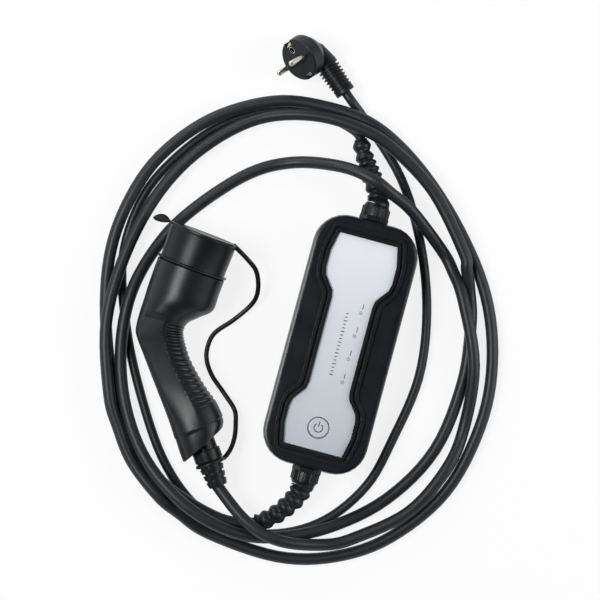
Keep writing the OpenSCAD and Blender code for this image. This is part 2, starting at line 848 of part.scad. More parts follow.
// Route of the charging cable, from the connector, three times round the floor, to the box's bottom relief
ev_route = [[-67, -144, 23], [-37, -165, 29], [-6, -173, 28], [32, -167, 14], [56, -154, 12], [93, -122, 13],
    [114, -80, 12], [120, -43, 6], [114, 12, 16], [91, 63, 15], [76, 85, 8], [63, 99, 7], [30, 124, 21],
    [8, 134, 33], [-9, 141, 37], [-37, 145, 27], [-77, 139, 8], [-112, 120, 5.2], [-148, 81, 5.2],
    [-170, 44, 5.2], [-182, -3, 14], [-178, -53, 14], [-161, -99, 16], [-133, -137, 20], [-93, -164, 26],
    [-50, -176, 23], [-14, -173, 14], [30, -153, 11], [72, -117, 5.2], [101, -66, 5.2], [109, -5, 5.2],
    [103, 45, 5.2], [94.5, 72, 7], [87, 89, 15.5], [81, 102, 17], [44, 144, 17], [5, 169, 20],
    [-27, 180, 22.5], [-72, 181, 19.5], [-117, 166, 13], [-155, 131, 11], [-181, 86, 11], [-195, 29, 14],
    [-196, -32, 17], [-178, -91, 16], [-163, -117, 15], [-144, -142, 15], [-115, -164, 17], [-96, -173, 12],
    [-66, -184, 5.2], [-5, -188, 5.2], [43, -175, 5.2], [84, -147, 5.2], [119, -98, 5.2], [133, -37, 5.2],
    [129, 18, 5.2], [109, 71.5, 5.2], [72, 120.5, 5.2], [26, 162, 5.2], [-19, 186, 15], [-63, 191, 13.5],
    [-108, 184, 12], [-155, 156, 11], [-189, 114, 10], [-205, 68, 10], [-208, 20, 7], [-196, -36, 5.2],
    [-172, -93, 5.2], [-139, -136, 6], [-104, -157, 13], [-60, -169, 14.5], [-31, -165.3, 13.5]];

module mains_lead() {
    color("#17191b")
    tube(lead_route, same(lead_route, lead_d), same(lead_route, lead_d), 8);
}

module ev_cable() {
    color("#17191b")
    tube(ev_route, same(ev_route, ev_d), same(ev_route, ev_d), 8);
}

box_base();
box_cover();
box_seal();
front_panel();
touch_key();
indicator_lenses();
cover_screws();
circuit_board();
relays();
residual_current_sensor();
power_supply();
terminal_block();
top_gland_body();
top_gland_nut();
bottom_gland_body();
bottom_gland_nut();
mains_relief();
ev_relief();
grip_shell_upper();
grip_shell_lower();
nose_sleeve();
nose_seal();
contact_insert();
contact_sleeves();
insert_screws();
cable_clamp();
handle_gland();
handle_boot();
tether_ring();
dust_cap();
cap_tether();
plug_body();
live_pin();
neutral_pin();
earth_clips();
earth_socket();
mains_lead();
ev_cable();
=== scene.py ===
import math

import bpy
from mathutils import Matrix, Vector


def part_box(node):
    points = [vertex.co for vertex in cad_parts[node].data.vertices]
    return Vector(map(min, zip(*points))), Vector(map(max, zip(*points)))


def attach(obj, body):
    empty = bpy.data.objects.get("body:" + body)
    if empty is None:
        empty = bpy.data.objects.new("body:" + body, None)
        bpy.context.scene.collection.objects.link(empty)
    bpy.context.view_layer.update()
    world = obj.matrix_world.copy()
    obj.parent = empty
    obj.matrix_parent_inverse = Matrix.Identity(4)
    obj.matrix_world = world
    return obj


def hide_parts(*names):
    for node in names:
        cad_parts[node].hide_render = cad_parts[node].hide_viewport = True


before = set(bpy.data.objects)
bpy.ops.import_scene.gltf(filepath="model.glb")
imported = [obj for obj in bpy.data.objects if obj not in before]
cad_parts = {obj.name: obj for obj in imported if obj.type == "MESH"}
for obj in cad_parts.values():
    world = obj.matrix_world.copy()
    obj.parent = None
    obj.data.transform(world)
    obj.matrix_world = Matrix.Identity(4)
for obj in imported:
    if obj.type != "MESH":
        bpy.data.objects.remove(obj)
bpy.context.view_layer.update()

bl_info = {
    "name": "Portable car charger",
    "version": (1, 0, 0),
    "blender": (4, 5, 0),
    "location": "View3D > Sidebar > Charger",
    "description": "Dresses the packed charger with its cables, housings and finishes",
    "category": "Object",
}

MM = 0.001
PANEL_LOW, PANEL_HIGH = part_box("front_panel")
KEY_LOW, KEY_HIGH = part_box("touch_key")

# Where the connector lies: place in mm, turn about Z and tip about X in degrees
CONNECTOR_AT, CONNECTOR_TURN, CONNECTOR_TIP = (-137.5, 29.9, 31.4), -5.7, 3

# Routes of both cables and of the cap's strap in mm, as in the part's source
LEAD_ROUTE = [
    (-50.3, 207, 10), (-42.6, 200.5, 10), (-26, 187, 4), (14, 149, 4), (44, 100, 4), (64, 46, 4), (72, -10, 4),
    (64, -67, 4), (53, -110, 4), (27, -147, 4), (-9, -169, 4), (-51, -175, 4), (-87, -162, 4), (-121, -132, 4),
    (-153, -84, 4), (-179, -33, 4), (-197, 22, 4), (-195, 73, 4), (-178, 113, 4), (-146, 153, 4), (-103, 179, 4),
    (-64, 184, 4), (-38, 179, 8), (-29, 173.5, 13.5),
]
EV_ROUTE = [
    (-67, -144, 23), (-37, -165, 29), (-6, -173, 28), (32, -167, 14), (56, -154, 12), (93, -122, 13), (114, -80, 12),
    (120, -43, 6), (114, 12, 16), (91, 63, 15), (76, 85, 8), (63, 99, 7), (30, 124, 21), (8, 134, 33), (-9, 141, 37),
    (-37, 145, 27), (-77, 139, 8), (-112, 120, 5.2), (-148, 81, 5.2), (-170, 44, 5.2), (-182, -3, 14), (-178, -53, 14),
    (-161, -99, 16), (-133, -137, 20), (-93, -164, 26), (-50, -176, 23), (-14, -173, 14), (30, -153, 11),
    (72, -117, 5.2), (101, -66, 5.2), (109, -5, 5.2), (103, 45, 5.2), (94.5, 72, 7), (87, 89, 15.5), (81, 102, 17),
    (44, 144, 17), (5, 169, 20), (-27, 180, 22.5), (-72, 181, 19.5), (-117, 166, 13), (-155, 131, 11), (-181, 86, 11),
    (-195, 29, 14), (-196, -32, 17), (-178, -91, 16), (-163, -117, 15), (-144, -142, 15), (-115, -164, 17),
    (-96, -173, 12), (-66, -184, 5.2), (-5, -188, 5.2), (43, -175, 5.2), (84, -147, 5.2), (119, -98, 5.2),
    (133, -37, 5.2), (129, 18, 5.2), (109, 71.5, 5.2), (72, 120.5, 5.2), (26, 162, 5.2), (-19, 186, 15),
    (-63, 191, 13.5), (-108, 184, 12), (-155, 156, 11), (-189, 114, 10), (-205, 68, 10), (-208, 20, 7),
    (-196, -36, 5.2), (-172, -93, 5.2), (-139, -136, 6), (-104, -157, 13), (-60, -169, 14.5), (-31, -165.3, 13.5),
]
TETHER_ROUTE = [
    (-104, 55, 33), (-94, 49, 30), (-85, 42, 24), (-80, 31, 16), (-79, 20, 10), (-83, 10, 6), (-93, -4, 3),
    (-105, -18, 2), (-108, -30, 2), (-106, -42, 2), (-98, -54, 3), (-84, -66, 5), (-72, -77, 8), (-68, -88, 10),
    (-66, -99, 12), (-66.5, -109, 14), (-69.2, -116.8, 15.8),
]
# Both bend reliefs in mm, from the nut to the thin end
TOP_BEND = [(0, 122.7, 22), (0, 125.1, 22), (-2.5, 132.6, 21.5), (-9, 141.1, 20), (-16.5, 151.6, 18), (-23, 161.6, 16),
            (-28, 171.6, 14)]
BOTTOM_BEND = [(0, -122.7, 22), (0, -125.1, 22), (-2, -132.6, 21.5), (-6.5, -141.1, 20.5), (-12.5, -149.6, 19),
               (-20, -157.6, 17), (-28.5, -163.6, 14)]

# Camera above the part, turned so that the control box leans as in the photo
CAMERA_AT, CAMERA_TURN, CAMERA_LENS = (-42.5 * MM, 27.4 * MM, 2.835), 15, 200
# Lamps: place, side and power. One soft lamp high on the left draws the long highlights, a weak one high on the
# right answers it, and two low ones light the sides
LAMPS = (((-1.3, -0.2, 2.25), 1.0, 46), ((1.45, 0.5, 2.1), 0.8, 6), ((1.9, 0.6, 1.1), 1.2, 20),
         ((-1.6, 1.5, 1.0), 1.2, 18))
LAMPS_AIM = (-0.04, 0.03, 0)
# Share of the floor's white that is its own glow where the camera sees it, which leaves a soft part of the shadows
FLOOR_GLOW = 0.84

# The glands, their nuts and the cable clamp share one colour
GLAND_COLOUR = "#0b0d0f"
# Printed marks stand this high and start this far below the face, in mm
INK_THICK, INK_SUNK = 0.06, 0.01
# The key's dished face above its underside; the row of graduations and the column of ticks: count, x, first y, pitch
KEY_FACE = 1.3 * MM
GRADUATIONS, TICKS = (18, -1.3, -26, 3.1), (4, 10.2, -24.5, 20)
# Ribbed reliefs in mm: radius at the nut, depth of the grooves, pitch of the ribs, and distance between rings
RELIEF_R, RELIEF_GROOVE, RELIEF_PITCH, RELIEF_STEP = 10, 2.3, 5.5, 0.5

# Along the grip, counted in sections: distance between rings, plain and in the ribs, where the ribs run, where the
# flat starts and ends and how far it takes to come in and fade out, and the collar's length from the end
RING_STEP, RIB_STEP = 0.12, 0.022
RIBS_FROM, RIBS_TO = 4.2, 11.2
FLAT_FROM, FLAT_RISE, FLAT_TO, FLAT_FALL = 3.6, 0.7, 12.8, 3.4
COLLAR_LENGTH = 1.55
# Across the grip, as shares of its half width or half height: grooves between the ribs, the collar's step, and the
# flat's ridge, its height at the ridge and its slope
RIB_DEPTH, COLLAR_STEP = 0.055, 0.035
FLAT_EDGE, FLAT_TOP, FLAT_SLOPE = 0.12, 0.97, 0.28
# Sections of the grip in mm, in the connector's own frame: left end, right end, half height, squareness
GRIP_SECTIONS = [
    ((-29.6, 0), (29.6, 0), 29.6, 2), ((-29.5, -14), (29.6, -13.5), 29.5, 2), ((-29, -30), (29.4, -27.5), 29, 2),
    ((-28.4, -40), (21, -36.5), 26.5, 2.1), ((-28, -49), (13.5, -44.5), 24, 2.2),
    ((-27.2, -58), (12.3, -51.5), 22, 2.3), ((-25.3, -66.5), (14.5, -57), 20.5, 2.5),
    ((-20, -74), (18.7, -63.3), 19.5, 2.5), ((-12, -83), (26, -72.5), 19, 2.4), ((-1, -95.5), (36.5, -82), 19, 2.4),
    ((11, -109), (47.5, -90.5), 19.5, 2.3), ((23.5, -123), (58, -97.5), 20.5, 2.3),
    ((33, -134.5), (66, -105), 21.3, 2.3), ((42.5, -147), (70.8, -110.5), 21.8, 2.3),
    ((51, -157), (72, -116.5), 21.5, 2.3),
]


def linear(code):
    """Turn an sRGB hex colour into Blender's linear red, green and blue."""
    channels = [int(code[i:i + 2], 16) / 255 for i in (1, 3, 5)]
    return tuple(c / 12.92 if c <= 0.04045 else ((c + 0.055) / 1.055) ** 2.4 for c in channels)


def length_prop(name, description, default):
    """A length in metres that the panel can change."""
    return bpy.props.FloatProperty(name=name, description=description, default=default, unit="LENGTH", precision=4)


def colour_prop(name, description, code):
    """A colour that the panel can change, given as a hex code."""
    return bpy.props.FloatVectorProperty(name=name, description=description, default=linear(code), size=3,
                                         subtype="COLOR", min=0, max=1)


def share(value):
    """Keep a value between 0 and 1."""
    return max(0.0, min(1.0, value))


def angles(count):
    """Equal steps round a full turn, in radians."""
    return [2 * math.pi * i / count for i in range(count)]


def smooth(a, b, c, d, t):
    """Smooth curve from b to c at t from 0 to 1, with a before and d after; for numbers and vectors."""
    return 0.5 * (2 * b + (c - a) * t + (2 * a - 5 * b + 4 * c - d) * t * t + (3 * b - a - 3 * c + d) * t ** 3)


class CHARGER_PG_cables(bpy.types.PropertyGroup):
    """Sizes and colours of both cables and the strap"""
    charging_d: length_prop("Charging cable", "Diameter of the charging cable", 10.3 * MM)
    lead_d: length_prop("Mains lead", "Diameter of the mains lead", 8 * MM)
    strap_w: length_prop("Strap", "Width of the cap's strap", 4 * MM)
    colour: colour_prop("Jacket", "Colour of the cable jackets", "#1b1d20")
    relief_colour: colour_prop("Reliefs", "Colour of the bend reliefs", "#15171a")


class CHARGER_PG_housing(bpy.types.PropertyGroup):
    """Sizes and colours of the control box"""
    edge_r: length_prop("Edges", "Rounding of the cover's edges and ridges", 1.15 * MM)
    base_edge_r: length_prop("Base edges", "Rounding of the base's edges", 0.8 * MM)
    ring_r: length_prop("Key ring", "Radius of the printed ring round the key", 8.9 * MM)
    colour: colour_prop("Housing", "Colour of the moulded housing", "#0f1216")
    # The panel's two colours are painted light and shade: painted lit at its upper end, painted shaded at its lower end
    panel_painted_light: colour_prop("Panel, upper end", "Colour of the panel at its upper end", "#e8ebf0")
    panel_painted_shade: colour_prop("Panel, lower end", "Colour of the panel at its lower end", "#b8bec6")
    mark: colour_prop("Marks", "Colour of the printed marks", "#3b4754")


class CHARGER_PG_connector(bpy.types.PropertyGroup):
    """Sizes and colours of the vehicle connector"""
    cap_r: length_prop("Cap", "Radius of the dust cap", 29.4 * MM)
    cap_l: length_prop("Cap depth", "Depth of the dust cap", 31 * MM)
    rib_count: bpy.props.IntProperty(name="Ribs", description="Number of ribs on the finger side", default=20, min=4)
    colour: colour_prop("Grip", "Colour of the grip", "#101216")
    cap_colour: colour_prop("Dust cap", "Colour of the dust cap", "#0b0d10")


class CHARGER_PG_plug(bpy.types.PropertyGroup):
    """Sizes and colours of the mains plug"""
    edge_r: length_prop("Edges", "Rounding of the moulded body's edges", 0.7 * MM)
    colour: colour_prop("Body", "Colour of the moulded body", "#131518")
    pin_colour: colour_prop("Pins", "Colour of the nickel pins", "#c9c6bd")


def add(tree, kind, links=None, **settings):
    """Add a shader node; links maps an input to a value or to another node's output."""
    node = tree.nodes.new(kind)
    for name, value in settings.items():
        setattr(node, name, value)
    for socket, value in (links or {}).items():
        if isinstance(value, bpy.types.NodeSocket):
            tree.links.new(value, node.inputs[socket])
        else:
            node.inputs[socket].default_value = value
    return node


def rgba(colour, gain=1.0):
    """A linear colour with alpha, brightened by a gain."""
    return tuple(min(1.0, c * gain) for c in colour) + (1.0,)


def new_material(name, build):
    """Make a node material whose shader comes from build(tree), or return it if it is there."""
    material = bpy.data.materials.get(name)
    if material:
        return material
    material = bpy.data.materials.new(name)
    material.use_nodes = True
    tree = material.node_tree
    tree.nodes.clear()
    shader = build(tree)
    add(tree, "ShaderNodeOutputMaterial", {"Surface": shader.outputs[0]})
    return material


def grained(tree, colour, rough, grain, depth, ior=1.5, spread=0.06, gain=1.35, shine=0.32):
    """A moulded surface: fine grain as bump, slight changes of colour and gloss. grain is its size in metres."""
    where = add(tree, "ShaderNodeTexCoord").outputs["Object"]
    fine = add(tree, "ShaderNodeTexNoise", {"Vector": where, "Scale": 1 / grain, "Detail": 2.0})
    broad = add(tree, "ShaderNodeTexNoise", {"Vector": where, "Scale": 1 / (40 * grain), "Detail": 3.0})
    tone = add(tree, "ShaderNodeMix", {0: broad.outputs[0], 6: rgba(colour), 7: rgba(colour, gain)}, data_type="RGBA")
    gloss = add(tree, "ShaderNodeMapRange", {0: broad.outputs[0], 3: rough - spread, 4: rough + spread})
    bump = add(tree, "ShaderNodeBump", {"Strength": 0.6, "Distance": depth, "Height": fine.outputs[0]})
    return add(tree, "ShaderNodeBsdfPrincipled", {
        "Base Color": tone.outputs[2], "Roughness": gloss.outputs[0], "Normal": bump.outputs[0], "IOR": ior,
        "Specular IOR Level": shine})


def spark_eroded_abs(name, colour, rough=0.29):
    """ABS moulded in a spark-eroded tool: a fine even grain breaks up the highlights. Grain is 0.4 mm, as seen."""
    return new_material(name, lambda tree: grained(tree, colour, rough, 0.4 * MM, 0.02 * MM, 1.53))


def smooth_pc(name, colour):
    """Polycarbonate from a polished tool, and other smooth skins: a plain dark sheen without visible grain."""
    return new_material(name, lambda tree: grained(tree, colour, 0.36, 0.8 * MM, 0.004 * MM, 1.58, shine=0.22))


def moulded_tpe(name, colour):
    """Thermoplastic rubber or soft PVC: soft broad highlights and a faint uneven skin."""
    return new_material(name, lambda tree: grained(tree, colour, 0.39, 0.7 * MM, 0.015 * MM, 1.5, 0.08, shine=0.28))


def extruded_jacket(name, colour):
    """Extruded cable jacket: matt rubber with a fine grain, and a dusty brighter tone in broad patches."""
    return new_material(name, lambda tree: grained(tree, colour, 0.42, 0.5 * MM, 0.015 * MM, 1.52, 0.07, 1.6))


def plated_metal(name, colour, rough=0.2):
    """Nickel or zinc plate: bright metal that faint marks, 0.6 mm apart and so wider than real, keep from mirroring."""
    def build(tree):
        where = add(tree, "ShaderNodeTexCoord").outputs["Object"]
        marks = add(tree, "ShaderNodeTexNoise", {"Vector": where, "Scale": 1 / (0.6 * MM), "Detail": 3.0})
        gloss = add(tree, "ShaderNodeMapRange", {0: marks.outputs[0], 3: rough - 0.07, 4: rough + 0.12})
        bump = add(tree, "ShaderNodeBump", {"Strength": 0.25, "Distance": 0.01 * MM, "Height": marks.outputs[0]})
        return add(tree, "ShaderNodeBsdfPrincipled", {
            "Base Color": rgba(colour), "Metallic": 1.0, "Roughness": gloss.outputs[0], "Normal": bump.outputs[0]})
    return new_material(name, build)


def satin_panel(name, light, dark):
    """Satin silver film on a plate: brushed across its width, and painted lighter towards its upper end as painted
    light and shade.
    """
    def build(tree):
        where = add(tree, "ShaderNodeTexCoord").outputs["Object"]
        along = add(tree, "ShaderNodeSeparateXYZ", {"Vector": where})
        # Painted light and shade: the colour runs from painted shade at the lower end to painted light at the upper end
        painted_light_blend = add(tree, "ShaderNodeMapRange", {0: along.outputs[1], 1: PANEL_LOW[1], 2: PANEL_HIGH[1]})
        tone = add(tree, "ShaderNodeMix", {0: painted_light_blend.outputs[0], 6: rgba(dark), 7: rgba(light)}, data_type="RGBA")
        stretched = add(tree, "ShaderNodeMapping", {"Vector": where, "Scale": (60, 2500, 60)})
        brushed = add(tree, "ShaderNodeTexNoise", {"Vector": stretched.outputs[0], "Scale": 1.0, "Detail": 2.0})
        gloss = add(tree, "ShaderNodeMapRange", {0: brushed.outputs[0], 3: 0.33, 4: 0.5})
        bump = add(tree, "ShaderNodeBump", {"Strength": 0.12, "Distance": 0.01 * MM, "Height": brushed.outputs[0]})
        return add(tree, "ShaderNodeBsdfPrincipled", {
            "Base Color": tone.outputs[2], "Metallic": 0.25, "Roughness": gloss.outputs[0],
            "Normal": bump.outputs[0]})
    return new_material(name, build)


def clear_lens(name, colour):
    """Small moulded light guide: glossy, with a pale body."""
    return new_material(name, lambda tree: grained(tree, colour, 0.12, 1.5 * MM, 0.002 * MM, 1.49, 0.03, 1.1))


def finish(obj, material, slot, *nodes):
    """Give a piece its material, ride it on the part, and hide the nodes that it stands for."""
    obj.data.materials.clear()
    obj.data.materials.append(material)
    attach(obj, "root")
    if nodes:
        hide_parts(*nodes)
    return obj


def dress(node, material):
    """Give a CAD node its material."""
    obj = bpy.data.objects[node]
    if obj.material_slots:
        for slot in obj.material_slots:
            slot.material = material
    else:
        obj.data.materials.append(material)


def only(obj):
    """Select one object and make it active."""
    bpy.ops.object.select_all(action="DESELECT")
    obj.select_set(True)
    bpy.context.view_layer.objects.active = obj


def settle(obj, name, place=None, angle=35):
    """Put a piece at its place, apply that to its mesh, and shade it smooth up to an angle."""
    obj.name = name
    obj.data.name = name
    if place:
        obj.matrix_world = place @ obj.matrix_world
    only(obj)
    bpy.ops.object.transform_apply(location=True, rotation=True, scale=True)
    bpy.ops.object.mode_set(mode="EDIT")
    bpy.ops.mesh.select_all(action="SELECT")
    bpy.ops.mesh.remove_doubles(threshold=0.00001)
    bpy.ops.mesh.normals_make_consistent(inside=False)
    bpy.ops.object.mode_set(mode="OBJECT")
    bpy.ops.object.shade_smooth_by_angle(angle=math.radians(angle))
    return obj


def turned(name, profile, place=None, steps=64, angle=35):
    """Spin a profile of (radius, height) points in mm about Z."""
    bpy.ops.object.select_all(action="DESELECT")
    bpy.ops.mesh.primitive_plane_add(size=0.001, location=(0, 0, 0))
    obj = bpy.context.object
    bpy.ops.object.mode_set(mode="EDIT")
    bpy.ops.mesh.select_all(action="SELECT")
    bpy.ops.mesh.merge(type="CENTER")
    bpy.ops.transform.translate(value=(profile[0][0] * MM, 0, profile[0][1] * MM))
    for (r0, z0), (r1, z1) in zip(profile, profile[1:]):
        bpy.ops.mesh.extrude_region_move(TRANSFORM_OT_translate={"value": ((r1 - r0) * MM, 0, (z1 - z0) * MM)})
    bpy.ops.mesh.select_all(action="SELECT")
    bpy.ops.mesh.spin(steps=steps, angle=2 * math.pi, center=(0, 0, 0), axis=(0, 0, 1))
    bpy.ops.object.mode_set(mode="OBJECT")
    return settle(obj, name, place, angle)


def smooth_path(points, steps):
    """Points in metres on a smooth curve through a list of points in mm."""
    p = [Vector(q) * MM for q in points]
    p = [2 * p[0] - p[1]] + p + [2 * p[-1] - p[-2]]
    path = []
    for a, b, c, d in zip(p, p[1:], p[2:], p[3:]):
        path += [smooth(a, b, c, d, k / steps) for k in range(steps)]
    return path + [p[-2]]


def joined(name, pieces):
    """Join finished pieces into one."""
    bpy.ops.object.select_all(action="DESELECT")
    for piece in pieces:
        piece.select_set(True)
    bpy.context.view_layer.objects.active = pieces[0]
    bpy.ops.object.join()
    obj = bpy.context.object
    obj.name = name
    obj.data.name = name
    return obj


def frame_of(at, turn, tip):
    """Matrix of a frame at a place in mm, tipped about X and then turned about Z."""
    return (Matrix.Translation(Vector(at) * MM) @ Matrix.Rotation(math.radians(turn), 4, "Z")
            @ Matrix.Rotation(math.radians(tip), 4, "X"))


CONNECTOR = frame_of(CONNECTOR_AT, CONNECTOR_TURN, CONNECTOR_TIP)


def cable(name, points, diameter):
    """A free cable as one open curve along points in mm, nowhere lower than the floor that it lies on."""
    path = [Vector((p.x, p.y, max(p.z, diameter / 2))) for p in smooth_path(points, 6)]
    curve = bpy.data.curves.new(name, "CURVE")
    curve.dimensions = "3D"
    curve.bevel_depth = diameter / 2
    curve.bevel_resolution = 6
    curve.use_fill_caps = True
    spline = curve.splines.new("POLY")
    spline.points.add(len(path) - 1)
    for point, place in zip(spline.points, path):
        point.co = (*place, 1)
    obj = bpy.data.objects.new(name, curve)
    bpy.context.collection.objects.link(obj)
    return obj, path


class CHARGER_OT_stage(bpy.types.Operator):
    """Add the floor, the soft lamps, the pale surroundings and the camera above"""
    bl_idname = "charger.stage"
    bl_label = "Stage"

    def execute(self, context):
        bpy.ops.object.select_all(action="DESELECT")
        bpy.ops.object.camera_add(location=CAMERA_AT, rotation=(0, 0, math.radians(CAMERA_TURN)))
        camera = context.object
        camera.data.lens = CAMERA_LENS
        camera.data.sensor_width = 36
        camera.data.clip_end = 20
        context.scene.camera = camera

        bpy.ops.mesh.primitive_plane_add(size=14, location=(0, 0, 0))
        floor = context.object
        floor.name = "studio_floor"
        floor.data.materials.append(new_material("painted_studio_floor", self.floor_shader))

        for place, size, power in LAMPS:
            bpy.ops.object.light_add(type="AREA", location=place)
            lamp = context.object
            direction = Vector(LAMPS_AIM) - Vector(place)
            lamp.rotation_euler = direction.to_track_quat("-Z", "Y").to_euler()
            lamp.data.size = size
            lamp.data.energy = power

        world = bpy.data.worlds.new("pale_room")
        world.use_nodes = True
        tree = world.node_tree
        tree.nodes.clear()
        toward = add(tree, "ShaderNodeSeparateXYZ", {
            "Vector": add(tree, "ShaderNodeTexCoord").outputs["Generated"]})
        # The room is white at eye level and dim overhead, so black plastic seen from above stays black
        level = add(tree, "ShaderNodeMapRange", {0: toward.outputs[2], 1: 0.05, 2: 0.6, 3: 1.0, 4: 0.03})
        light = add(tree, "ShaderNodeBackground", {"Color": (1, 1, 1, 1), "Strength": level.outputs[0]})
        add(tree, "ShaderNodeOutputWorld", {"Surface": light.outputs[0]})
        context.scene.world = world
        context.scene.view_settings.view_transform = "Standard"
        return {"FINISHED"}

    @staticmethod
    def floor_shader(tree):
        """White paint that keeps a soft part of the shadows."""
        path = add(tree, "ShaderNodeLightPath")
        seen = add(tree, "ShaderNodeMath", {0: path.outputs["Is Camera Ray"], 1: path.outputs["Is Glossy Ray"]},
                   operation="MAXIMUM")
        any_seen = add(tree, "ShaderNodeMath", {0: seen.outputs[0], 1: path.outputs["Is Transmission Ray"]},
                       operation="MAXIMUM")
        part = add(tree, "ShaderNodeMath", {0: any_seen.outputs[0], 1: FLOOR_GLOW}, operation="MULTIPLY")
        paint = add(tree, "ShaderNodeBsdfDiffuse", {"Color": (0.9, 0.9, 0.9, 1)})
        glow = add(tree, "ShaderNodeEmission", {"Color": (1, 1, 1, 1), "Strength": 1.0})
        return add(tree, "ShaderNodeMixShader", {0: part.outputs[0], 1: paint.outputs[0], 2: glow.outputs[0]})


class CHARGER_OT_cables(bpy.types.Operator):
    """Lay the charging cable and the mains lead along their routes"""
    bl_idname = "charger.cables"
    bl_label = "Cables"

    def execute(self, context):
        p = context.scene.charger_cables
        jacket = extruded_jacket("extruded_rubber_jacket", p.colour)
        # Each end runs a few millimetres into the sleeve or boot that holds it
        charging, charging_path = cable("charging_cable", [(-26.5, -162, 14.8)] + EV_ROUTE[::-1] + [(-70.6, -139, 23)],
                                        p.charging_d)
        lead, lead_path = cable("mains_cable", [(-27, 169.5, 14.6)] + LEAD_ROUTE[::-1] + [(-53.4, 209.6, 10.1)],
                                p.lead_d)
        finish(charging, jacket, "cable_jacket", "ev_cable")
        finish(lead, jacket, "cable_jacket", "mains_lead")
        plug_finish = moulded_tpe("moulded_plug_pvc", context.scene.charger_plug.colour)
        plug = finish(softened("plug_body", "plug_moulding", context.scene.charger_plug.edge_r), plug_finish,
                      "soft_rubber", "plug_body")
        return {"FINISHED"}


def skin(name, rings, angle=40, place=None):
    """A closed skin over rings of points in metres, for forms that a spin or an extrusion can't give."""
    count = len(rings[0])
    points = [tuple(p) for ring in rings for p in ring]
    faces = [(a * count + i, a * count + (i + 1) % count, (a + 1) * count + (i + 1) % count, (a + 1) * count + i)
             for a in range(len(rings) - 1) for i in range(count)]
    faces += [tuple(range(count)), tuple(range((len(rings) - 1) * count, len(rings) * count))]
    mesh = bpy.data.meshes.new(name)
    mesh.from_pydata(points, [], faces)
    obj = bpy.data.objects.new(name, mesh)
    bpy.context.collection.objects.link(obj)
    return settle(obj, name, place, angle)


def across(path, k):
    """Level sideways direction and upward direction of a path at its point k."""
    along = (path[min(k + 1, len(path) - 1)] - path[max(k - 1, 0)]).normalized()
    side = along.cross(Vector((0, 0, 1))).normalized()
    return side, side.cross(along)


def round_sleeve(name, path, radii, sides=32):
    """A round sleeve along a path, with its own radius at each point."""
    rings = []
    for k, (centre, radius) in enumerate(zip(path, radii)):
        side, up = across(path, k)
        rings.append([centre + radius * (side * math.cos(a) + up * math.sin(a)) for a in angles(sides)])
    return skin(name, rings, 60)


def even_path(points, step):
    """The smooth curve through points in mm, cut into equal steps in metres."""
    fine = smooth_path(points, 24)
    out, run = [fine[0]], 0.0
    for a, b in zip(fine, fine[1:]):
        run += (b - a).length
        if run >= step:
            out.append(b)
            run = 0.0
    return out


def grip_section(t):
    """Left end, right end, half height and squareness of the grip at t sections from its front, in mm."""
    k = min(int(t), len(GRIP_SECTIONS) - 2)
    rows = [GRIP_SECTIONS[max(0, min(len(GRIP_SECTIONS) - 1, k + j))] for j in (-1, 0, 1, 2)]
    return [smooth(a, b, c, d, t - k) for a, b, c, d in zip(*((*r[0], *r[1], r[2], r[3]) for r in rows))]


